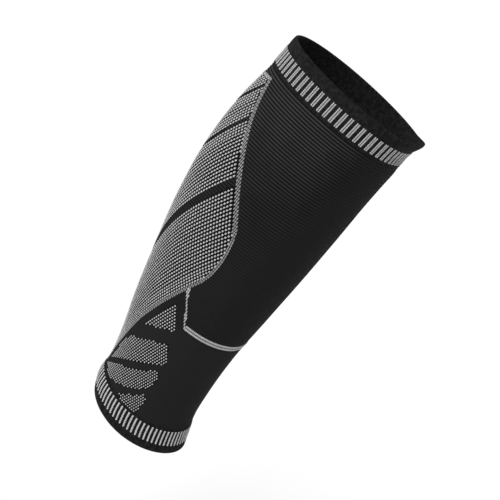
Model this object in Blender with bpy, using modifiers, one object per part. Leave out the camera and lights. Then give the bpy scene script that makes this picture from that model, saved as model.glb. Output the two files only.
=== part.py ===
"""Calf compression sleeve: a knitted tube with a turned elastic cuff at each end.

Units are metres. +Z runs up the leg towards the knee, the shin faces -Y and the calf
faces +Y. The sleeve is the same on both sides of the YZ plane and keeps the form that
a leg gives it. The origin lies on the leg's axis, level with the ankle opening.
"""
import math

import bmesh
import bpy
import numpy as np

# Heights along the leg
SLEEVE_LENGTH = 0.300
LOWER_CUFF_HEIGHT = 0.0205
UPPER_CUFF_HEIGHT = 0.0225

# Reach of the outer face from the leg's axis
ANKLE_SHIN_REACH = 0.0335
ANKLE_HEEL_REACH = 0.0410
ANKLE_SIDE_REACH = 0.0350
CALF_SHIN_REACH = 0.0575
CALF_BACK_REACH = 0.0700
CALF_SIDE_REACH = 0.0550

# Walls: one layer of knitting for the tube, a turned double layer for the cuffs
TUBE_WALL = 0.0018
CUFF_WALL = 0.0026
CUFF_STEP = 0.0003
FOLD_ROUNDING = 0.0011
SEAM_GAP = 0.0003

# Rise of the openings towards the calf, at the shin's and the heel's reach, and the
# dip of the ankle opening at its sides. The powers say how soon they fade.
CALF_RIM_LEAN = 0.0075
ANKLE_RIM_LEAN = 0.0020
ANKLE_RIM_DIP = 0.0035
LEAN_FADE = 3
DIP_FADE = 6

# Each row is a section of the worn leg. height is a share of SLEEVE_LENGTH, and shin,
# back and side are shares of the way from the ankle's reach to the calf's reach.
SECTION_COLUMNS = ("height", "shin", "back", "side")
SECTION_ROWS = (
    (0.00, 0.35, -0.02, 0.11),
    (0.04, 0.21, 0.11, 0.07),
    (0.09, 0.07, 0.10, 0.02),
    (0.16, 0.02, 0.19, 0.07),
    (0.28, 0.04, 0.455, 0.25),
    (0.42, 0.21, 0.71, 0.57),
    (0.56, 0.385, 0.92, 0.84),
    (0.69, 0.52, 1.00, 0.98),
    (0.82, 0.64, 0.89, 0.99),
    (0.92, 0.785, 0.67, 0.95),
    (1.00, 1.00, 0.54, 0.94),
)

# Facets
SIDES = 48
TUBE_ROW_HEIGHT = 0.0095
CUFF_ROW_HEIGHT = 0.0105
FOLD_SEGMENTS = 2
SHARP_ANGLE = math.radians(50)

# Finish
BLACK_KNIT = (0.0130, 0.0130, 0.0145, 1.0)
BLACK_WELT = (0.0105, 0.0105, 0.0115, 1.0)
KNIT_ROUGHNESS = 0.92


def clear_scene():
    for leftover in list(bpy.data.objects):
        bpy.data.objects.remove(leftover, do_unlink=True)


def section_column(name):
    column = SECTION_COLUMNS.index(name)
    return np.array([row[column] for row in SECTION_ROWS])


def smooth_share(name, height):
    """Value of a table column at a height share, on a smooth curve through the rows."""
    heights = section_column("height")
    values = section_column(name)
    slopes = np.gradient(values, heights)
    row = int(np.clip(np.searchsorted(heights, height, side="right") - 1, 0, len(heights) - 2))
    span = heights[row + 1] - heights[row]
    t = (height - heights[row]) / span
    start = (1 + 2 * t) * (1 - t) ** 2 * values[row] + t * (1 - t) ** 2 * span * slopes[row]
    end = t * t * (3 - 2 * t) * values[row + 1] + t * t * (t - 1) * span * slopes[row + 1]
    return start + end


def reach(name, ankle_reach, calf_reach, height):
    return ankle_reach + smooth_share(name, height) * (calf_reach - ankle_reach)


def rim_rise(height, side, depth):
    """Rise of a level where the openings lean towards the calf or dip at the sides."""
    calf_lean = CALF_RIM_LEAN / CALF_SHIN_REACH * height ** LEAN_FADE
    ankle_lean = ANKLE_RIM_LEAN / ANKLE_HEEL_REACH * (1 - height) ** LEAN_FADE
    dip = ANKLE_RIM_DIP * (1 - height) ** DIP_FADE
    return (calf_lean + ankle_lean) * depth - dip * side ** 2


def surface_point(height, angle, proud):
    """Point of the outer face. The angle is 0 at the back of the calf and pi at the shin."""
    shin = reach("shin", ANKLE_SHIN_REACH, CALF_SHIN_REACH, height) + proud
    back = reach("back", ANKLE_HEEL_REACH, CALF_BACK_REACH, height) + proud
    side = reach("side", ANKLE_SIDE_REACH, CALF_SIDE_REACH, height) + proud
    depth = (back if math.cos(angle) > 0 else shin) * math.cos(angle)
    rise = rim_rise(height, math.sin(angle), depth)
    return (-side * math.sin(angle), depth, SLEEVE_LENGTH * height + rise)


def loft_rings(mesh, start, end, row_height, proud):
    """Open surface lofted through the leg's sections, from one height to another."""
    rows = max(2, math.ceil((end - start) / row_height))
    rings = []
    for row in range(rows + 1):
        height = (start + (end - start) * row / rows) / SLEEVE_LENGTH
        angles = [2 * math.pi * step / SIDES for step in range(SIDES)]
        rings.append([mesh.verts.new(surface_point(height, angle, proud)) for angle in angles])
    for lower, upper in zip(rings, rings[1:]):
        for step in range(SIDES):
            after = (step + 1) % SIDES
            mesh.faces.new((lower[step], lower[after], upper[after], upper[step]))


def add_band(name, collection, material, start, end, row_height, proud):
    band = bmesh.new()
    loft_rings(band, start, end, row_height, proud)
    bmesh.ops.recalc_face_normals(band, faces=band.faces)
    mesh = bpy.data.meshes.new(name)
    band.to_mesh(mesh)
    band.free()
    mesh.materials.append(material)
    mesh.shade_smooth()
    mesh.set_sharp_from_angle(angle=SHARP_ANGLE)
    part = bpy.data.objects.new(name, mesh)
    collection.objects.link(part)
    return part


def thicken_inwards(part, wall):
    shell = part.modifiers.new("wall", "SOLIDIFY")
    shell.thickness = wall
    shell.offset = -1
    shell.use_even_offset = True
    shell.use_rim = True


def round_the_fold(part):
    fold = part.modifiers.new("fold", "BEVEL")
    fold.width = FOLD_ROUNDING
    fold.segments = FOLD_SEGMENTS
    fold.limit_method = "ANGLE"
    fold.angle_limit = SHARP_ANGLE


def knit_material(name, colour):
    material = bpy.data.materials.new(name)
    material.use_nodes = True
    shader = material.node_tree.nodes["Principled BSDF"]
    shader.inputs["Base Color"].default_value = colour
    shader.inputs["Roughness"].default_value = KNIT_ROUGHNESS
    shader.inputs["Metallic"].default_value = 0.0
    return material


def add_sleeve_body(collection, material):
    """Knitted tube between the cuffs, one layer thick."""
    start = LOWER_CUFF_HEIGHT + SEAM_GAP
    end = SLEEVE_LENGTH - UPPER_CUFF_HEIGHT - SEAM_GAP
    body = add_band("sleeve_body", collection, material, start, end, TUBE_ROW_HEIGHT, 0.0)
    thicken_inwards(body, TUBE_WALL)


def add_cuff(name, collection, material, start, end):
    """Turned edge, two layers thick, standing a little proud of the tube."""
    cuff = add_band(name, collection, material, start, end, CUFF_ROW_HEIGHT, CUFF_STEP)
    thicken_inwards(cuff, CUFF_WALL)
    round_the_fold(cuff)


def build_sleeve():
    clear_scene()
    sleeve = bpy.data.collections.new("calf_compression_sleeve")
    bpy.context.scene.collection.children.link(sleeve)
    knit = knit_material("black_knit", BLACK_KNIT)
    welt = knit_material("black_welt", BLACK_WELT)
    add_sleeve_body(sleeve, knit)
    add_cuff("lower_cuff", sleeve, welt, 0.0, LOWER_CUFF_HEIGHT)
    add_cuff("upper_cuff", sleeve, welt, SLEEVE_LENGTH - UPPER_CUFF_HEIGHT, SLEEVE_LENGTH)


build_sleeve()
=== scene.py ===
"""Looks of a calf compression sleeve: ribbed black knit, turned welts and light pattern yarn.

Units are metres. +Z runs up the leg, the shin faces -Y and the calf faces +Y. A place on
the sleeve is given by two shares. around runs from 0 at the back of the calf to 1 at the
shin, positive on the side at -X and negative on the side at +X. height runs from 0 at the
ankle opening to 1 at the calf opening.
"""
import math

import bpy
import numpy as np
from mathutils import Matrix, Vector


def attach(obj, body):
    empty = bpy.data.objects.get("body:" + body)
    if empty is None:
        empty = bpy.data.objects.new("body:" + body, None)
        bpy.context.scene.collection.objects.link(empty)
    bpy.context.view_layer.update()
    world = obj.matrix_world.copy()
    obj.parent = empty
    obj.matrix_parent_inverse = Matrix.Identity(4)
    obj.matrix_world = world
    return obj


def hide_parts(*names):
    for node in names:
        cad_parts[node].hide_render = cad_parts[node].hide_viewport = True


# Sleeve, as the frame has it
SLEEVE_LENGTH = 0.300
LOWER_CUFF_HEIGHT = 0.0205
UPPER_CUFF_HEIGHT = 0.0225
ANKLE_SHIN_REACH = 0.0335
ANKLE_HEEL_REACH = 0.0410
ANKLE_SIDE_REACH = 0.0350
CALF_SHIN_REACH = 0.0575
CALF_BACK_REACH = 0.0700
CALF_SIDE_REACH = 0.0550
TUBE_WALL = 0.0018
CUFF_WALL = 0.0026
CUFF_STEP = 0.0003
CALF_RIM_LEAN = 0.0075
ANKLE_RIM_LEAN = 0.0020
ANKLE_RIM_DIP = 0.0035
LEAN_FADE = 3
DIP_FADE = 6
SECTION_COLUMNS = ("height", "shin", "back", "side")
SECTION_ROWS = (
    (0.00, 0.35, -0.02, 0.11),
    (0.04, 0.21, 0.11, 0.07),
    (0.09, 0.07, 0.10, 0.02),
    (0.16, 0.02, 0.19, 0.07),
    (0.28, 0.04, 0.455, 0.25),
    (0.42, 0.21, 0.71, 0.57),
    (0.56, 0.385, 0.92, 0.84),
    (0.69, 0.52, 1.00, 0.98),
    (0.82, 0.64, 0.89, 0.99),
    (0.92, 0.785, 0.67, 0.95),
    (1.00, 1.00, 0.54, 0.94),
)

# Knit gauge. A row is a rib, and there are more rows to a length where the knit is slack.
# Columns are counted from the back of the calf and are narrower there.
ROW_DENSITY = (
    (0.00, 168), (0.10, 164), (0.20, 153), (0.32, 138),
    (0.50, 136), (0.68, 131), (0.85, 140), (1.00, 143),
)
BACK_SHARE = 0.25
BACK_COLUMNS = 135
SIDE_COLUMNS = 123
WALES = 480
COURSES_PER_ROW = 2

# Ribs. The black knit is plain below PLAIN_HEIGHTS. Above them the ribs' strength goes by
# height, and by around over the shin. The strength sets the ribs' depth, and also their painted
# highlight on the crests and painted shade in the valleys, which follow where the light falls.
# Below PLAIN_HEIGHTS the black knit is painted lighter, as more light falls on the ankle
PLAIN_HEIGHTS = (0.31, 0.33)
RIB_STRENGTH = (
    (0.00, 0.0), (0.31, 0.0), (0.33, 0.19), (0.45, 0.21),
    (0.60, 0.34), (0.70, 0.52), (0.82, 0.96), (0.90, 1.30),
)
FRONT_STRENGTH = ((0.48, 1.0), (0.60, 0.70), (0.72, 0.16), (1.00, 0.12))
RIB_DEPTH = 0.00034
PLAIN_RIB_DEPTH = 0.00005
INNER_RIB_DEPTH = 0.00012

# Welt section, in millimetres from the seam
WELT_GAP = 0.15
WELT_CORNER = 0.35
WELT_FLAT = 0.8
WELT_INNER_EDGE = 0.6

# Welt section, in metres across the wall, and the length of a stitch course round the fold
EDGE_DROP = 0.0006
CORNER_DROP = 0.0002
WELT_COURSE = 0.0022

# Soft roll of a welt: height in metres, millimetres from the rim and spread in their square
ROLL = (0.00018, 4.2, 6)

# Fineness of the meshes
RIB_STEPS = 4
TUBE_COLUMNS = 152
WELT_COLUMNS = 360
WELT_ROWS = 24
FOLD_ROWS = 12
WELT_INNER_ROWS = 8
ARC_POINTS = 241
GIRTH_LEVELS = 101
ROW_LEVELS = 801

# Bars knitted into the welts: lowest and highest height share, bars round, spread and
# width of a bar's two stitch columns as shares of the bars' pitch
BARS = {
    "lower_bars": (0.0222, 0.0602, 70, 0.15, 0.25),
    "upper_bars": (0.9340, 0.9722, 68, 0.29, 0.25),
}
BAR_STITCH = 0.00128
BAR_STITCH_OVERLAP = 1.45
BAR_THICKNESS = 0.00054
BAR_SPLAY = 0.34

# The lower welt stands higher towards the heel: rises of its seam, as (around, height share).
# They hold below MIDDLE_HEIGHT only.
MIDDLE_HEIGHT = 0.5
HEEL_RISES = ((0.0, 0.0130), (0.12, 0.0118), (0.20, 0.0068), (0.28, 0.0025), (0.38, 0.0))

# Near the calf opening the sleeve draws in over the shin and then curls off it in a thin lip.
# Each change runs between a pair of heights or arounds.
PINCH = 0.0026
PINCH_HEIGHTS = (0.895, 0.962)
PINCH_AROUNDS = (0.68, 0.92)
LIP_RISE = 0.0024
LIP_THINNING = 0.75
LIP_HEIGHTS = (0.972, 1.0)
LIP_AROUNDS = (0.84, 1.0)

# Stitch legs: spread and width as shares of a column's pitch, length as a share of a row's,
# thickness in metres, and the splay and common twist of the two legs in radians. A look
# without spread has a single leg.
UPPER_DOT_LOOK = (0.18, 0.47, 1.00, 0.00042, 0.08, 0.34)
LOWER_DOT_LOOK = (0.19, 0.52, 0.94, 0.00042, 0.14, 0.16)
LEAF_LOOK = (0.21, 0.54, 0.77, 0.00042, 0.12, 0.06)
LINE_LOOK = (0.0, 0.80, 1.20, 0.00050, 0.0, 0.0)
BRANCH_LOOK = (0.0, 1.00, 1.50, 0.00052, 0.0, -0.10)
SHIN_LOOK = (0.0, 1.20, 1.06, 0.00044, 0.0, 0.0)
STITCH_SINK = -0.00012
LEG_DIFFERENCE = 0.08

# One leg of a stitch is a low dome on this many corners, with a narrower shoulder
PETAL_CORNERS = 6
SHOULDER_WIDTH = 0.80
SHOULDER_HEIGHT = 0.74

# Steps of the yarn's grain from leg to leg, and the width that the bake map is laid out on
GRAIN_STEPS = (1.37, 0.61)
BAKE_WIDTH = 0.16

# Panel, as (column, row) of the knit. Its front edge climbs one row a column, turns at the
# bulge and falls one row a column.
PANEL_TOP = ((0.0, 128.1), (10.8, 129.2), (20.6, 130.0))
PANEL_EDGE = (
    (20.6, 130.0), (24.8, 125.2), (59.4, 89.8), (61.5, 86.5), (62.4, 82.5), (62.7, 79.0),
    (62.4, 76.0), (61.4, 72.3), (59.0, 68.5), (1.5, 11.0),
)
PANEL_FOOT = (0.0, 10.1)
PANEL_FOOT_ROW = 10
TOP_LINE_COLUMNS = 23
BRANCH_LINE = ((55.4, 62.6), (58.0, 59.6), (61.1, 56.2), (63.2, 53.5), (65.2, 51.0))
FRONT_LINE = (-1.1, -0.1, 0.9)
UNDER_LINE = (-0.5, 0.5)
FRONT_MARGIN = 0.9
UNDER_MARGIN = 0.3
UNDER_ROW = 11
FRONT_ROW = 88
TOP_ROW = 129
BRANCH_REACH = 0.75
BRANCH_ROWS = (51, 64)
SHIN_LINE_ROWS = (50.65, 51.7)
SHIN_LINE_START = 66
PANEL_SPLIT_ROW = 92
CENTRE_REACH = 0.2
GRID_COLUMNS = 72
LEAF_ROWS = 60

# Towards the top the dots stand further apart at the back. SPREAD_COUNTS are the dot columns
# counted up to each of SPREAD_COLUMNS beyond its own number, in full from the upper row.
SPREAD_COLUMNS = (0, 10, 13, 15.5, 17.8, 24, 33, 45, 72)
SPREAD_COUNTS = (8.4, 3.9, 2.6, 1.7, 1.1, 0.0, -1.0, -1.2, -1.2)
SPREAD_ROWS = (66, 98)

# Stripes without dots along the diagonals, which are rows less dot columns: diagonal, and
# half widths at dot columns 0, 17 and 34. The dots beside a stripe are drawn to its edge,
# less and less over some dots. The under stripe holds the outline's lower line.
STRIPES = (
    (105.5, (1.40, 1.40, 1.40)),
    (87.5, (1.35, 1.44, 1.50)),
    (55.5, (3.56, 3.11, 2.81)),
)
UNDER_STRIPE = (9.5, (1.43, 1.43, 1.43))
STRIPE_COLUMNS = (0, 17, 34)
DOT_HALF = 0.42
DRAWN_DOTS = 3

# Dotted slices of the ankle leaf, as (around, height)
LEAF_SLICES = (
    ((0.406, 0.371), (0.285, 0.262), (0.471, 0.306)),
    (
        (0.105, 0.108), (0.178, 0.178), (0.221, 0.206), (0.350, 0.238), (0.478, 0.269),
        (0.521, 0.221), (0.451, 0.198), (0.289, 0.155), (0.180, 0.128),
    ),
    (
        (0.080, 0.083), (0.246, 0.127), (0.343, 0.150), (0.404, 0.166), (0.490, 0.192),
        (0.509, 0.191), (0.518, 0.178), (0.508, 0.152), (0.492, 0.136), (0.426, 0.118),
        (0.366, 0.102), (0.301, 0.089), (0.235, 0.081), (0.180, 0.079), (0.115, 0.083),
    ),
    (
        (0.338, 0.073), (0.394, 0.091), (0.436, 0.099), (0.489, 0.119), (0.513, 0.116),
        (0.515, 0.102), (0.511, 0.085), (0.498, 0.068), (0.440, 0.066), (0.370, 0.068),
    ),
)

# Camera fitted to the sleeve's outline, and the frame that it is fitted in
CAMERA_PLACE = Vector((-0.7634, -0.0013, 0.4191))
CAMERA_AIM = Vector((0.0, 0.0008, 0.1605))
CAMERA_ROLL = math.radians(34.31)
FOCAL_PIXELS = 1114.64
FRAME_PIXELS = 500
SENSOR_WIDTH = 36.0
CLIP_START = 0.01

# Chance: its seed, the spread of a leg's lean in radians and the ranges of its thickness
CHANCE_SEED = 11
LEAN_CHANCE = 0.05
THICKNESS_CHANCE = (0.9, 1.1)
BAR_THICKNESS_CHANCE = (0.92, 1.08)

# Finish
# Painted highlight on the rib crests and painted shade in the rib valleys of the black knit
VALLEY_PAINTED_SHADE = (0.0060, 0.0060, 0.0064, 1.0)
CREST_PAINTED_HIGHLIGHT = (0.0410, 0.0410, 0.0420, 1.0)
PLAIN_BLACK = (0.0105, 0.0105, 0.0112, 1.0)
# Black below the shin line, painted lighter where more light falls
PAINTED_LIGHT_ANKLE_BLACK = (0.0140, 0.0140, 0.0150, 1.0)
# Painted shade on the black between the light stitches of the panel and the leaf
PAINTED_SHADE_BETWEEN_STITCHES = (0.0045, 0.0045, 0.0048, 1.0)
WELT_BLACK = (0.0072, 0.0072, 0.0078, 1.0)
WELT_LIGHT = (0.0160, 0.0160, 0.0170, 1.0)
DOT_GREY = (0.64, 0.64, 0.645, 1.0)
DOT_SHADE = (0.46, 0.46, 0.465, 1.0)
LINE_GREY = (0.48, 0.48, 0.485, 1.0)
LINE_SHADE = (0.34, 0.34, 0.345, 1.0)
OUTLINE_GREY = (0.35, 0.35, 0.355, 1.0)
OUTLINE_SHADE = (0.24, 0.24, 0.245, 1.0)
KNIT_ROUGHNESS = 0.85
YARN_ROUGHNESS = 0.8
YARN_SHEEN = 0.05
KNIT_SPECULAR = 0.05
YARN_SPECULAR = 0.15

# Relief in the materials: fuzz as the noise's scale and share, bump as distance and strength
LEG_SLOPE = 1.6
COURSE_SHARE = 0.35
WALE_SHARE = 0.65
FUZZ_DETAIL = 2.0
KNIT_FUZZ = (2600.0, 0.35)
WELT_FUZZ = (2400.0, 0.30)
YARN_FUZZ = (5200.0, 0.60)
KNIT_BUMP = (0.00014, 0.8)
WELT_BUMP = (0.00015, 0.7)
YARN_BUMP = (0.00005, 0.7)
PLY_LEAN = (5.0, 2.0)

# Tones in the materials: scales of the noise, the spans over which a value takes effect, and
# factor and offset where a value is made weaker
CLOUD_DETAIL = 3.0
KNIT_CLOUDS = 60.0
WELT_CLOUDS = 420.0
WELT_CLOUD_DETAIL = 2.0
YARN_CLOUDS = 900.0
KNIT_CLOUD_SPAN = (0.3, 0.75)
WELT_CLOUD_SPAN = (0.35, 0.7)
YARN_CLOUD_SPAN = (0.3, 0.7)
RIDGE_SPAN = (0.55, 1.0)
STRENGTH_SPAN = (0.05, 0.5)
LIGHT_SPAN = (0.3, 0.7)
CLOUD_TONE = (0.35, 0.7)
STITCH_TONE = (0.3, 0.8)

# Studio
WORLD_STRENGTH = 0.62
KEY_STRENGTH = 2.4
KEY_DIRECTION = (-0.60, 0.60, 0.75)
KEY_WIDTH = math.radians(45.0)
FLOOR_WHITE = (0.93, 0.93, 0.93, 1.0)
FLOOR_ROUGHNESS = 0.9
FLOOR_LEVEL = -0.22
FLOOR_RADIUS = 60.0
FLOOR_CORNERS = 96


# The worn form

def section_column(name):
    column = SECTION_COLUMNS.index(name)
    return np.array([row[column] for row in SECTION_ROWS])


def smooth_share(name, heights):
    """Values of a table column at height shares, on a smooth curve through the rows."""
    levels = section_column("height")
    values = section_column(name)
    slopes = np.gradient(values, levels)
    row = np.clip(np.searchsorted(levels, heights, side="right") - 1, 0, len(levels) - 2)
    span = levels[row + 1] - levels[row]
    t = (heights - levels[row]) / span
    start = (1 + 2 * t) * (1 - t) ** 2 * values[row] + t * (1 - t) ** 2 * span * slopes[row]
    end = t * t * (3 - 2 * t) * values[row + 1] + t * t * (t - 1) * span * slopes[row + 1]
    return start + end


def reach(name, ankle_reach, calf_reach, heights):
    return ankle_reach + smooth_share(name, heights) * (calf_reach - ankle_reach)


def outer_face(heights, angles):
    """Points of the outer face. The angle is 0 at the back of the calf and pi at the shin."""
    shin = reach("shin", ANKLE_SHIN_REACH, CALF_SHIN_REACH, heights)
    back = reach("back", ANKLE_HEEL_REACH, CALF_BACK_REACH, heights)
    side = reach("side", ANKLE_SIDE_REACH, CALF_SIDE_REACH, heights)
    depth = np.where(np.cos(angles) > 0, back, shin) * np.cos(angles)
    calf_lean = CALF_RIM_LEAN / CALF_SHIN_REACH * np.clip(heights, 0, None) ** LEAN_FADE
    ankle_lean = ANKLE_RIM_LEAN / ANKLE_HEEL_REACH * (1 - heights) ** LEAN_FADE
    dip = ANKLE_RIM_DIP * (1 - heights) ** DIP_FADE
    rise = (calf_lean + ankle_lean) * depth - dip * np.sin(angles) ** 2
    return np.stack([-side * np.sin(angles), depth, SLEEVE_LENGTH * heights + rise], -1)


def unit(vectors):
    return vectors / np.linalg.norm(vectors, axis=-1, keepdims=True)


def directions(heights, angles):
    """Unit vectors round the leg, up the leg and outwards at each place."""
    small = 1e-3
    round_leg = unit(outer_face(heights, angles + small) - outer_face(heights, angles - small))
    up_leg = unit(outer_face(heights + small, angles) - outer_face(heights - small, angles))
    outward = unit(np.cross(round_leg, up_leg))
    return round_leg, np.cross(outward, round_leg), outward


def half_arc(height):
    """Angles from the back to the shin, and the arc length up to each."""
    angles = np.linspace(0, math.pi, ARC_POINTS)
    points = outer_face(np.full_like(angles, height), angles)
    steps = np.linalg.norm(np.diff(points, axis=0), axis=1)
    return angles, np.concatenate([[0.0], np.cumsum(steps)])


def half_girth(height):
    return half_arc(height)[1][-1]


def angles_at(height, arounds):
    angles, arc = half_arc(height)
    return np.sign(arounds) * np.interp(np.abs(arounds), arc / arc[-1], angles)


GIRTH_HEIGHTS = np.linspace(0, 1, GIRTH_LEVELS)
GIRTHS = [half_girth(height) for height in GIRTH_HEIGHTS]


def fade(values, low, high):
    """0 up to low, 1 from high, and smooth between them."""
    share = np.clip((np.asarray(values, float) - low) / (high - low), 0, 1)
    return share * share * (3 - 2 * share)


def shin_pinch(heights, arounds):
    """Lift where the sleeve draws in over the shin, below the lip of the calf opening."""
    drawn_in = fade(heights, *PINCH_HEIGHTS) - fade(heights, *LIP_HEIGHTS)
    return -PINCH * drawn_in * fade(np.abs(arounds), *PINCH_AROUNDS)


def heel_rise(heights, arounds):
    """Rise of the lower welt and its bars towards the heel, in full at the seam."""
    share = np.clip(heights * SLEEVE_LENGTH / LOWER_CUFF_HEIGHT, 0, 1) * (heights < MIDDLE_HEIGHT)
    return share * np.interp(np.abs(arounds), *np.array(HEEL_RISES).T)


# Knit rows and columns

def row_table():
    heights = np.linspace(0, 1, ROW_LEVELS)
    density = np.interp(heights, *np.array(ROW_DENSITY).T)
    steps = (density[1:] + density[:-1]) / 2 * np.diff(heights)
    return heights, np.concatenate([[0.0], np.cumsum(steps)])


ROW_HEIGHTS, ROW_COUNTS = row_table()


def row_at(heights):
    return np.interp(heights, ROW_HEIGHTS, ROW_COUNTS)


def height_of(rows):
    return np.interp(rows, ROW_COUNTS, ROW_HEIGHTS)


def around_of(columns):
    """Arc share of the columns, the first of which is on the back centre line."""
    bend = BACK_SHARE * BACK_COLUMNS
    beyond = BACK_SHARE + (columns - bend) / SIDE_COLUMNS
    return np.where(columns < bend, columns / BACK_COLUMNS, beyond)


def column_at(arounds):
    bend = BACK_SHARE * BACK_COLUMNS
    beyond = bend + (arounds - BACK_SHARE) * SIDE_COLUMNS
    return np.where(arounds < BACK_SHARE, arounds * BACK_COLUMNS, beyond)


LAST_COLUMN = float(column_at(1.0))
PANEL = np.array(PANEL_TOP + PANEL_EDGE[1:] + (PANEL_FOOT,))


# Mesh helpers

def add_piece(name, points, faces, material, maps):
    """Closed mesh piece that rides on the sleeve, with its UV maps given point by point."""
    mesh = bpy.data.meshes.new(name)
    mesh.from_pydata([tuple(p) for p in points], [], [tuple(f) for f in faces])
    corner_points = np.zeros(len(mesh.loops), np.int32)
    mesh.loops.foreach_get("vertex_index", corner_points)
    for map_name, coordinates in maps.items():
        layer = mesh.uv_layers.new(name=map_name)
        layer.uv.foreach_set("vector", coordinates[corner_points].astype(np.float32).ravel())
    mesh.materials.append(material)
    mesh.shade_smooth()
    piece = bpy.data.objects.new(name, mesh)
    bpy.context.scene.collection.objects.link(piece)
    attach(piece, "root")
    return piece


def ring_faces(rows, columns):
    """Quads between rings of the same number of points, each ring closed on itself."""
    row, column = np.meshgrid(np.arange(rows - 1), np.arange(columns), indexing="ij")
    after = (column + 1) % columns
    low = row * columns
    high = low + columns
    return np.stack([low + column, low + after, high + after, high + column], -1).reshape(-1, 4)


def ring_arounds(columns):
    """Arc shares of a ring's points, from the back, past the shin and round again."""
    shares = np.arange(columns) * 2 / columns
    return np.where(shares > 1, shares - 2, shares)


def lifted_ring(height, arounds, lifts):
    """Ring of points at a height, each moved off the outer face by its lift."""
    angles = angles_at(height, arounds)
    heights = np.full(len(arounds), height)
    return outer_face(heights, angles) + directions(heights, angles)[2] * lifts[:, None]


def closed_loft(rings):
    """Points, faces and bake map of a loft whose last ring joins the first."""
    rows, columns = len(rings), len(rings[0])
    faces = ring_faces(rows, columns).tolist()
    last_ring = (rows - 1) * columns
    for column in range(columns):
        after = (column + 1) % columns
        faces.append([last_ring + column, last_ring + after, after, column])
    bake = np.stack([np.tile(np.arange(columns) / columns, rows),
                     np.repeat(np.arange(rows) / rows, columns)], -1)
    return np.array(rings).reshape(-1, 3), faces, bake


# Stitches

def petal():
    """Low closed dome, one unit long and wide and one unit high, as one leg of a stitch."""
    count = PETAL_CORNERS
    ring = np.arange(count)
    after = (ring + 1) % count
    angles = (2 * ring + 1) * math.pi / count
    foot = np.stack([np.cos(angles) / 2, np.sin(angles) / 2, np.zeros(count)], -1)
    shoulder = foot * SHOULDER_WIDTH + [0, 0, SHOULDER_HEIGHT]
    points = np.vstack([foot, shoulder, [[0, 0, 1.0]]])
    sides = np.stack([ring, after, after + count, ring + count], -1).tolist()
    top = np.stack([ring + count, after + count, np.full(count, 2 * count)], -1).tolist()
    return points, sides + top + [ring[::-1].tolist()]


def stitch_mesh(name, legs, material):
    """One mesh of stitch legs. A leg lies across from its place, turned by its lean."""
    legs = legs[np.argsort(legs[:, 1], kind="stable")]
    around, height, across, width, length, lean, thickness, base = legs.T
    angles = np.empty(len(legs))
    levels, index = np.unique(np.round(height, 6), return_inverse=True)
    for k, level in enumerate(levels):
        chosen = index == k
        angles[chosen] = angles_at(level, around[chosen])
    round_leg, up_leg, outward = directions(height, angles)
    centre = outer_face(height, angles) + round_leg * across[:, None] + outward * base[:, None]
    shape, faces = petal()
    x = shape[None, :, 0] * width[:, None]
    y = shape[None, :, 1] * length[:, None]
    z = shape[None, :, 2] * thickness[:, None]
    turned_x = x * np.cos(lean)[:, None] - y * np.sin(lean)[:, None]
    turned_y = x * np.sin(lean)[:, None] + y * np.cos(lean)[:, None]
    points = (centre[:, None] + turned_x[..., None] * round_leg[:, None]
              + turned_y[..., None] * up_leg[:, None] + z[..., None] * outward[:, None])
    count = len(shape)
    all_faces = [[k * count + c for c in face] for k in range(len(legs)) for face in faces]
    number = np.arange(len(legs))[:, None, None]
    grain = shape[None, :, :2] + number * np.array(GRAIN_STEPS)
    bake = np.stack([(around[:, None] + (across[:, None] + turned_x) / BAKE_WIDTH + 1) / 2,
                     height[:, None] + turned_y / SLEEVE_LENGTH], -1)
    maps = {"grain": grain.reshape(-1, 2), "OFBake": np.clip(bake.reshape(-1, 2), 0, 1)}
    return add_piece(name, points.reshape(-1, 3), all_faces, material, maps)


def cell_legs(cells, look, chance):
    """Leaning legs for each cell, which is a (column, row, stretch, side) of the knit."""
    spread, width, length, thickness, splay, twist = look
    column, row, stretch, side = np.array(cells, float).T
    height = height_of(row + 0.5)
    girth = np.interp(height, GIRTH_HEIGHTS, GIRTHS)
    columns_round = np.where(column < BACK_SHARE * BACK_COLUMNS, BACK_COLUMNS, SIDE_COLUMNS)
    pitch = girth / columns_round * stretch
    rise = (height_of(row + 1) - height_of(row)) * SLEEVE_LENGTH
    size = len(row)
    legs = []
    for leg in (-1, 1) if spread else (0,):
        lean = -leg * splay - twist + chance.normal(0, LEAN_CHANCE, size)
        thicknesses = thickness * chance.uniform(*THICKNESS_CHANCE, size)
        legs.append(np.stack([
            around_of(column) * side, height, leg * spread * pitch, width * pitch,
            length * rise * (1 + LEG_DIFFERENCE * leg), lean, thicknesses,
            np.full(size, STITCH_SINK)], -1))
    return np.vstack(legs)


def with_mirror(cells):
    """Cells on both sides of the sleeve. Those on a centre line, back or front, come once."""
    both = [(*cell, 1) for cell in cells]
    return both + [(*cell, -1) for cell in cells
                   if CENTRE_REACH < cell[0] < LAST_COLUMN - CENTRE_REACH]


def inside(polygon, columns, rows):
    """Whether each place lies in a polygon of (column, row) corners."""
    crossed = np.zeros(np.shape(columns), bool)
    for (c1, r1), (c2, r2) in zip(polygon, np.roll(polygon, -1, axis=0)):
        if r1 != r2:
            beside = columns < c1 + (rows - r1) / (r2 - r1) * (c2 - c1)
            crossed ^= ((r1 > rows) != (r2 > rows)) & beside
    return crossed


def leaf_polygons():
    slices = [np.array(part) for part in LEAF_SLICES]
    return [np.stack([column_at(part[:, 0]), row_at(part[:, 1])], -1) for part in slices]


def on_light_ground(arounds, height):
    """Whether places lie in the panel or in a slice of the leaf, on either side. The black knit
    gets painted shade there.
    """
    columns = column_at(np.abs(arounds))
    rows = np.full(len(arounds), row_at(height))
    found = np.any([inside(part, columns, rows) for part in [PANEL] + leaf_polygons()], axis=0)
    for diagonal, halves in STRIPES:
        found &= np.abs(rows - columns - diagonal) > np.interp(columns, STRIPE_COLUMNS, halves)
    return found


def crossing(path, row):
    """Column at which a falling path crosses the middle of a row."""
    columns, rows = np.array(path)[::-1].T
    return float(np.interp(row + 0.5, rows, columns))


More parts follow.
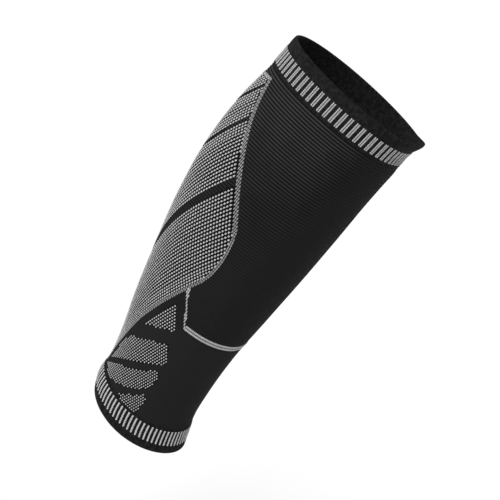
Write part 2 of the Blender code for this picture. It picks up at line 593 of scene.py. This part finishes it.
def outline_cells():
    """One stitch row at the top, three stitch columns down the front and two below them."""
    columns, rows = np.array(PANEL_TOP).T
    cells = [(column, np.interp(column, columns, rows) - 1, 1.0)
             for column in range(TOP_LINE_COLUMNS)]
    for row in range(UNDER_ROW, TOP_ROW):
        line = FRONT_LINE if row >= FRONT_ROW else UNDER_LINE
        cells += [(crossing(PANEL_EDGE, row) + offset, row, 1.0) for offset in line]
    return cells


def branch_cells():
    cells = []
    for row in range(*BRANCH_ROWS):
        middle = crossing(BRANCH_LINE, row)
        columns = range(math.ceil(middle - BRANCH_REACH), math.floor(middle + BRANCH_REACH) + 1)
        cells += [(column, row, 1.0) for column in columns]
    return cells


def dot_places(row):
    """Numbers of the dot columns in a row, the columns they lie at and how wide each is."""
    counts = np.array(SPREAD_COLUMNS) + fade(row, *SPREAD_ROWS) * np.array(SPREAD_COUNTS)
    counts[0] = 2 * round(counts[0] / 2)
    numbers = np.arange(math.ceil(counts[0]), GRID_COLUMNS)
    numbers = numbers[(numbers + row) % 2 == 0]
    places, before, after = [np.interp(numbers + step, counts, SPREAD_COLUMNS)
                             for step in (0, -0.5, 0.5)]
    return zip(numbers.tolist(), places.tolist(), (after - before).tolist())


def stripe_shift(column, row):
    """Rows by which a dot beside a stripe is drawn to its edge. None means on the stripe."""
    stripes = STRIPES + (UNDER_STRIPE,) if row >= UNDER_ROW else STRIPES
    for diagonal, halves in stripes:
        off = row + 0.5 - column - diagonal
        edge = np.interp(column, STRIPE_COLUMNS, halves) + DOT_HALF
        if abs(off) < edge - 1:
            return None
        if abs(off) < edge - 1 + 2 * DRAWN_DOTS:
            order, rest = divmod(abs(off) - edge + 1, 2)
            return math.copysign(1, off) * (1 - rest) * (1 - order / DRAWN_DOTS)
    return 0.0


def panel_cells():
    """Every other cell of the panel, short of its outline and with the stripes left open."""
    top_columns, top_rows = np.array(PANEL_TOP).T
    cells = []
    for row in range(PANEL_FOOT_ROW, TOP_ROW):
        margin = UNDER_LINE[0] - UNDER_MARGIN
        if row >= FRONT_ROW:
            margin = FRONT_LINE[0] - FRONT_MARGIN
        for number, place, stretch in dot_places(row):
            shift = stripe_shift(number, row)
            if shift is None or row + 1 > np.interp(place, top_columns, top_rows):
                continue
            if row >= UNDER_ROW and place > crossing(PANEL_EDGE, row + shift) + margin:
                continue
            if inside(PANEL, np.array([place]), np.array([row + 0.5]))[0]:
                cells.append((place, row + shift, stretch))
    return cells


def leaf_cells():
    columns, rows = np.meshgrid(np.arange(GRID_COLUMNS), np.arange(LEAF_ROWS))
    cells = []
    for part in leaf_polygons():
        wanted = inside(part, columns, rows + 0.5) & ((columns + rows) % 2 == 0)
        cells += [(column, row, 1.0) for column, row in zip(columns[wanted], rows[wanted])]
    return cells


def shin_line_cells():
    columns = np.arange(SHIN_LINE_START, LAST_COLUMN + 0.5)
    return [(column, row, 1.0) for row in SHIN_LINE_ROWS for column in columns]


def bar_legs(name, chance):
    """Upright bars round a welt, each of two columns of stitches."""
    low, high, count, spread, width = BARS[name]
    stitches = round((high - low) * SLEEVE_LENGTH / BAR_STITCH)
    heights = low + (np.arange(stitches) + 0.5) * (high - low) / stitches
    arounds = (np.arange(count) + 0.5) * 2 / count - 1
    height, around = [grid.ravel() for grid in np.meshgrid(heights, arounds, indexing="ij")]
    girths = np.repeat([half_girth(h) for h in heights], count)
    pitch = girths * 2 / count
    base = CUFF_STEP + STITCH_SINK + shin_pinch(height, around)
    height = height + heel_rise(height, around)
    size = len(height)
    legs = []
    for leg in (-1, 1):
        lean = -leg * BAR_SPLAY + chance.normal(0, LEAN_CHANCE, size)
        thicknesses = BAR_THICKNESS * chance.uniform(*BAR_THICKNESS_CHANCE, size)
        legs.append(np.stack([
            around, height, leg * spread / 2 * pitch, width * pitch,
            np.full(size, BAR_STITCH * BAR_STITCH_OVERLAP), lean, thicknesses, base], -1))
    return np.vstack(legs)


# Black knit

def rib_strength(height, arounds):
    """Ribs show most near the calf opening, less over the shin and not below the shin line. Their
    strength sets their depth and the painted highlight and shade on them.
    """
    return (np.interp(height, *np.array(RIB_STRENGTH).T)
            * np.interp(np.abs(arounds), *np.array(FRONT_STRENGTH).T))


def rib_depths(height, arounds):
    return PLAIN_RIB_DEPTH + (RIB_DEPTH - PLAIN_RIB_DEPTH) * rib_strength(height, arounds)


def knit_tube(material):
    """Tube that runs just under both welts, ribbed outside and finely ribbed inside."""
    low = row_at(LOWER_CUFF_HEIGHT / SLEEVE_LENGTH)
    high = row_at(1 - UPPER_CUFF_HEIGHT / SLEEVE_LENGTH)
    first, last = math.floor(low * RIB_STEPS) - 1, math.ceil(high * RIB_STEPS) + 1
    outer_rows = np.arange(first, last + 1) / RIB_STEPS
    inner_count = round(outer_rows[-1] - outer_rows[0]) + 1
    inner_rows = np.linspace(outer_rows[-1], outer_rows[0], inner_count)
    arounds = ring_arounds(TUBE_COLUMNS)
    rings, stitch_map, look_map = [], [], []
    for k, row in enumerate(np.concatenate([outer_rows, inner_rows])):
        height = float(height_of(row))
        # Rib strength, kept in the look map, also weights the painted highlight and shade on the
        # ribs
        strength = rib_strength(height, arounds)
        lifts = -rib_depths(height, arounds) * math.cos(math.pi * row) ** 2
        if k >= len(outer_rows):
            lifts = np.full(TUBE_COLUMNS, -TUBE_WALL + INNER_RIB_DEPTH * (k % 2))
        rings.append(lifted_ring(height, arounds, lifts + shin_pinch(height, arounds)))
        stitch_map.append(np.stack([arounds * WALES / 2, np.full(TUBE_COLUMNS, row)], -1))
        # Panel and leaf places, where the black gets painted shade between the light stitches
        light = on_light_ground(arounds, height)
        look_map.append(np.stack([strength, light.astype(float)], -1))
    points, faces, bake = closed_loft(rings)
    maps = {
        "knit": np.array(stitch_map).reshape(-1, 2),
        "look": np.array(look_map).reshape(-1, 2),
        "OFBake": bake,
    }
    tube = add_piece("knit_tube", points, faces, material, maps)
    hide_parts("sleeve_body")


def welt_profile(seam, rim):
    """Rows of (height share, lift) over a turned welt: up outside, over the fold, down inside."""
    way = 1 if rim > seam else -1
    mm = way / SLEEVE_LENGTH / 1000
    outer = CUFF_STEP
    inner = CUFF_STEP - CUFF_WALL
    radius = CUFF_WALL / 2
    centre = (outer + inner) / 2
    flat = seam + WELT_FLAT * mm
    fold = rim - radius * 1000 * mm
    roll_height, roll_place, roll_spread = ROLL
    rows = [
        (seam + WELT_GAP * mm, inner + EDGE_DROP),
        (seam + WELT_GAP * mm, outer - EDGE_DROP),
        (seam + WELT_CORNER * mm, outer - CORNER_DROP),
        (flat, outer),
    ]
    for k in range(1, WELT_ROWS + 1):
        height = flat + (fold - flat) * k / WELT_ROWS
        below_rim = (height - rim) / mm + roll_place
        rows.append((height, outer + roll_height * math.exp(-below_rim ** 2 / roll_spread)))
    for k in range(1, FOLD_ROWS):
        angle = math.pi * k / FOLD_ROWS
        height = fold + radius * 1000 * math.sin(angle) * mm
        rows.append((height, centre + radius * math.cos(angle)))
    for k in range(WELT_INNER_ROWS + 1):
        inner_edge = seam + WELT_INNER_EDGE * mm
        rows.append((fold + (inner_edge - fold) * k / WELT_INNER_ROWS, inner))
    return rows


def lipped_ring(height, arounds, lift):
    """Ring of a welt, with the shin's pinch and lip where the welt has them."""
    curl = fade(height, *LIP_HEIGHTS) * fade(np.abs(arounds), *LIP_AROUNDS)
    lifts = lift + (CUFF_STEP - lift) * LIP_THINNING * curl + shin_pinch(height, arounds)
    angles = angles_at(height, arounds)
    heights = height + heel_rise(height, arounds)
    ring = outer_face(heights, angles) + directions(heights, angles)[2] * lifts[:, None]
    ring[:, 2] += LIP_RISE * curl
    return ring


def add_welt(name, node, seam, rim, material):
    arounds = ring_arounds(WELT_COLUMNS)
    profile = welt_profile(seam, rim)
    rings = [lipped_ring(height, arounds, lift) for height, lift in profile]
    points, faces, bake = closed_loft(rings)
    if rim < seam:
        faces = [face[::-1] for face in faces]
    rises, lifts = np.diff(np.array(profile), axis=0).T
    steps = np.hypot(rises * SLEEVE_LENGTH, lifts)
    travelled = np.concatenate([[0.0], np.cumsum(steps)]) / WELT_COURSE
    knit = np.stack(np.broadcast_arrays(arounds[None, :] * WALES / 2, travelled[:, None]), -1)
    maps = {"knit": knit.reshape(-1, 2), "OFBake": bake}
    welt = add_piece(name, points, faces, material, maps)
    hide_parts(node)


# Materials

class NodeDesk:
    """Short names for the nodes that a material is made of."""

    def __init__(self, name):
        self.material = bpy.data.materials.new(name)
        self.material.use_nodes = True
        self.tree = self.material.node_tree
        self.shader = self.tree.nodes["Principled BSDF"]

    def node(self, kind, **settings):
        made = self.tree.nodes.new(kind)
        for key, value in settings.items():
            setattr(made, key, value)
        return made

    def link(self, source, target):
        self.tree.links.new(source, target)

    def feed(self, socket, value):
        if isinstance(value, bpy.types.NodeSocket):
            self.link(value, socket)
        else:
            socket.default_value = value

    def maths(self, operation, first, second=0.0):
        made = self.node("ShaderNodeMath", operation=operation)
        self.feed(made.inputs[0], first)
        self.feed(made.inputs[1], second)
        return made.outputs[0]

    def scaled(self, value, factor, offset):
        return self.maths("ADD", self.maths("MULTIPLY", value, factor), offset)

    def wave(self, value):
        """Sine that comes round once for each whole number."""
        return self.maths("SINE", self.maths("MULTIPLY", value, 2 * math.pi))

    def map_parts(self, name):
        source = self.node("ShaderNodeUVMap", uv_map=name)
        parts = self.node("ShaderNodeSeparateXYZ")
        self.link(source.outputs["UV"], parts.inputs[0])
        return parts.outputs["X"], parts.outputs["Y"]

    def noise(self, scale, detail):
        made = self.node("ShaderNodeTexNoise")
        made.inputs["Scale"].default_value = scale
        made.inputs["Detail"].default_value = detail
        self.link(self.node("ShaderNodeTexCoord").outputs["Object"], made.inputs["Vector"])
        return made.outputs["Fac"]

    def clouds(self, scale, span, detail=CLOUD_DETAIL):
        return self.ramp(self.noise(scale, detail), *span)

    def ramp(self, value, low, high):
        made = self.node("ShaderNodeMapRange", interpolation_type="SMOOTHSTEP")
        made.inputs["From Min"].default_value = low
        made.inputs["From Max"].default_value = high
        self.link(value, made.inputs["Value"])
        return made.outputs["Result"]

    def mix(self, share, first, second):
        made = self.node("ShaderNodeMix", data_type="RGBA")
        self.feed(made.inputs["Factor"], share)
        colours = [socket for socket in made.inputs if socket.type == "RGBA"]
        self.feed(colours[0], first)
        self.feed(colours[1], second)
        return [socket for socket in made.outputs if socket.type == "RGBA"][0]

    def fuzzed(self, relief, scale, share):
        """Relief with fine fibres over it."""
        fuzz = self.maths("MULTIPLY", self.noise(scale, FUZZ_DETAIL), share)
        return self.maths("ADD", relief, fuzz)

    def bump(self, height, distance, strength):
        made = self.node("ShaderNodeBump")
        made.inputs["Distance"].default_value = distance
        made.inputs["Strength"].default_value = strength
        self.link(height, made.inputs["Height"])
        self.link(made.outputs["Normal"], self.shader.inputs["Normal"])

    def finish(self, colour, roughness, sheen=0.0, specular=KNIT_SPECULAR):
        self.feed(self.shader.inputs["Base Color"], colour)
        self.shader.inputs["Roughness"].default_value = roughness
        self.shader.inputs["Specular IOR Level"].default_value = specular
        self.shader.inputs["Sheen Weight"].default_value = sheen
        return self.material


def stitch_relief(desk, across, along):
    """Height of a plain knit: columns of leaning legs, two to a wale."""
    place = desk.maths("FRACT", across)
    leg = desk.maths("ABSOLUTE", desk.maths("SUBTRACT", place, 0.5))
    lean = desk.maths("MULTIPLY", leg, LEG_SLOPE)
    courses = desk.maths("MULTIPLY", along, COURSES_PER_ROW)
    course = desk.maths("MULTIPLY", desk.wave(desk.maths("ADD", courses, lean)), COURSE_SHARE)
    return desk.maths("ADD", course, desk.maths("MULTIPLY", desk.wave(leg), WALE_SHARE))


def black_knit():
    """Black yarn with painted light: a painted highlight on the rib crests, painted shade in the
    rib valleys and between the light stitches, and a lighter black painted below the shin line.
    """
    desk = NodeDesk("black_rib_knit")
    across, along = desk.map_parts("knit")
    strength, painted_shade_mask = desk.map_parts("look")
    relief = stitch_relief(desk, across, along)
    ridge = desk.maths("ABSOLUTE", desk.maths("SINE", desk.maths("MULTIPLY", along, math.pi)))
    # Painted highlight on the rib crests, as strong as the ribs
    crest_highlight = desk.maths("MULTIPLY", desk.ramp(ridge, *RIDGE_SPAN), strength)
    clouds = desk.clouds(KNIT_CLOUDS, KNIT_CLOUD_SPAN)
    crest_highlight = desk.maths("MULTIPLY", crest_highlight, desk.scaled(clouds, *CLOUD_TONE))
    crest_highlight = desk.maths("MULTIPLY", crest_highlight, desk.scaled(relief, *STITCH_TONE))
    # Painted shade in the rib valleys where the ribs are strong, the knit's own black where plain
    plain = desk.mix(desk.ramp(strength, *STRENGTH_SPAN), PLAIN_BLACK, VALLEY_PAINTED_SHADE)
    # Below the shin line the black is painted lighter, as more light falls there
    above_ankle = desk.ramp(along, *[float(row_at(height)) for height in PLAIN_HEIGHTS])
    ribs = desk.mix(crest_highlight, desk.mix(above_ankle, PAINTED_LIGHT_ANKLE_BLACK, plain), CREST_PAINTED_HIGHLIGHT)
    # Painted shade on the black between the light stitches of the panel and the leaf
    colour = desk.mix(desk.ramp(painted_shade_mask, *LIGHT_SPAN), ribs, PAINTED_SHADE_BETWEEN_STITCHES)
    desk.bump(desk.fuzzed(relief, *KNIT_FUZZ), *KNIT_BUMP)
    return desk.finish(colour, KNIT_ROUGHNESS)


def black_welt():
    desk = NodeDesk("black_welt_knit")
    relief = stitch_relief(desk, *desk.map_parts("knit"))
    tone = desk.clouds(WELT_CLOUDS, WELT_CLOUD_SPAN, WELT_CLOUD_DETAIL)
    desk.bump(desk.fuzzed(relief, *WELT_FUZZ), *WELT_BUMP)
    return desk.finish(desk.mix(tone, WELT_BLACK, WELT_LIGHT), KNIT_ROUGHNESS)


def light_yarn(name, light, shade):
    """Spun yarn: fine plies that lean along each stitch leg."""
    desk = NodeDesk(name)
    parts = zip(desk.map_parts("grain"), PLY_LEAN)
    across, along = [desk.maths("MULTIPLY", part, factor) for part, factor in parts]
    plies = desk.wave(desk.maths("ADD", across, along))
    tone = desk.clouds(YARN_CLOUDS, YARN_CLOUD_SPAN)
    desk.bump(desk.fuzzed(plies, *YARN_FUZZ), *YARN_BUMP)
    return desk.finish(desk.mix(tone, shade, light), YARN_ROUGHNESS, YARN_SHEEN, YARN_SPECULAR)


# Stage

def add_camera():
    camera = bpy.data.cameras.new("photo_camera")
    camera.sensor_width = SENSOR_WIDTH
    camera.lens = FOCAL_PIXELS / FRAME_PIXELS * SENSOR_WIDTH
    camera.clip_start = CLIP_START
    holder = bpy.data.objects.new("photo_camera", camera)
    bpy.context.scene.collection.objects.link(holder)
    look = (CAMERA_AIM - CAMERA_PLACE).to_track_quat("-Z", "Y").to_matrix().to_4x4()
    roll = Matrix.Rotation(CAMERA_ROLL, 4, "Z")
    holder.matrix_world = Matrix.Translation(CAMERA_PLACE) @ look @ roll
    bpy.context.scene.camera = holder


def add_key_light():
    """Broad soft light from the side of the calf, above the camera."""
    lamp = bpy.data.lights.new("key_light", "SUN")
    lamp.angle = KEY_WIDTH
    lamp.energy = KEY_STRENGTH
    holder = bpy.data.objects.new("key_light", lamp)
    bpy.context.scene.collection.objects.link(holder)
    holder.matrix_world = Vector(KEY_DIRECTION).to_track_quat("Z", "Y").to_matrix().to_4x4()


def add_floor():
    bpy.ops.mesh.primitive_circle_add(vertices=FLOOR_CORNERS, radius=FLOOR_RADIUS,
                                      fill_type="NGON", location=(0, 0, FLOOR_LEVEL))
    floor = bpy.context.object
    floor.name = "floor"
    floor.data.materials.append(NodeDesk("pale_floor").finish(FLOOR_WHITE, FLOOR_ROUGHNESS))


def add_world():
    world = bpy.data.worlds.new("white_studio")
    bpy.context.scene.world = world
    world.use_nodes = True
    sky = world.node_tree.nodes["Background"]
    sky.inputs["Color"].default_value = (1.0, 1.0, 1.0, 1.0)
    sky.inputs["Strength"].default_value = WORLD_STRENGTH


def add_studio():
    add_world()
    add_floor()
    add_key_light()
    bpy.context.scene.view_settings.view_transform = "Standard"


# The sleeve

def add_pattern(chance):
    dots = light_yarn("dot_yarn", DOT_GREY, DOT_SHADE)
    lines = light_yarn("line_yarn", LINE_GREY, LINE_SHADE)
    edge = light_yarn("outline_yarn", OUTLINE_GREY, OUTLINE_SHADE)
    panel = panel_cells()
    upper = [cell for cell in panel if cell[1] >= PANEL_SPLIT_ROW]
    lower = [cell for cell in panel if cell[1] < PANEL_SPLIT_ROW]
    parts = (
        ("upper_panel_dots", upper, UPPER_DOT_LOOK, dots),
        ("lower_panel_dots", lower, LOWER_DOT_LOOK, dots),
        ("ankle_leaf_dots", leaf_cells(), LEAF_LOOK, dots),
        ("panel_outline", outline_cells(), LINE_LOOK, edge),
        ("branch_line", branch_cells(), BRANCH_LOOK, lines),
        ("shin_line", shin_line_cells(), SHIN_LOOK, lines),
    )
    for name, cells, look, yarn in parts:
        stitch_mesh(name, cell_legs(with_mirror(cells), look, chance), yarn)
    stitch_mesh("lower_bars", bar_legs("lower_bars", chance), dots)
    stitch_mesh("upper_bars", bar_legs("upper_bars", chance), lines)


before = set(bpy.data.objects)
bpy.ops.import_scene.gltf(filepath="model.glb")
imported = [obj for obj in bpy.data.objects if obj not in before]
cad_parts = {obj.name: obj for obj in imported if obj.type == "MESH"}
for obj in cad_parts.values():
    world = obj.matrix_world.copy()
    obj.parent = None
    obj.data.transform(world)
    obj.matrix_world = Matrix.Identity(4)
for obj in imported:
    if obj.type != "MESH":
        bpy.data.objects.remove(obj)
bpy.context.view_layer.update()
add_camera()
add_studio()
knit_tube(black_knit())
welt_finish = black_welt()
add_welt("lower_welt", "lower_cuff", LOWER_CUFF_HEIGHT / SLEEVE_LENGTH, 0.0, welt_finish)
add_welt("upper_welt", "upper_cuff", 1 - UPPER_CUFF_HEIGHT / SLEEVE_LENGTH, 1.0, welt_finish)
add_pattern(np.random.default_rng(CHANCE_SEED))
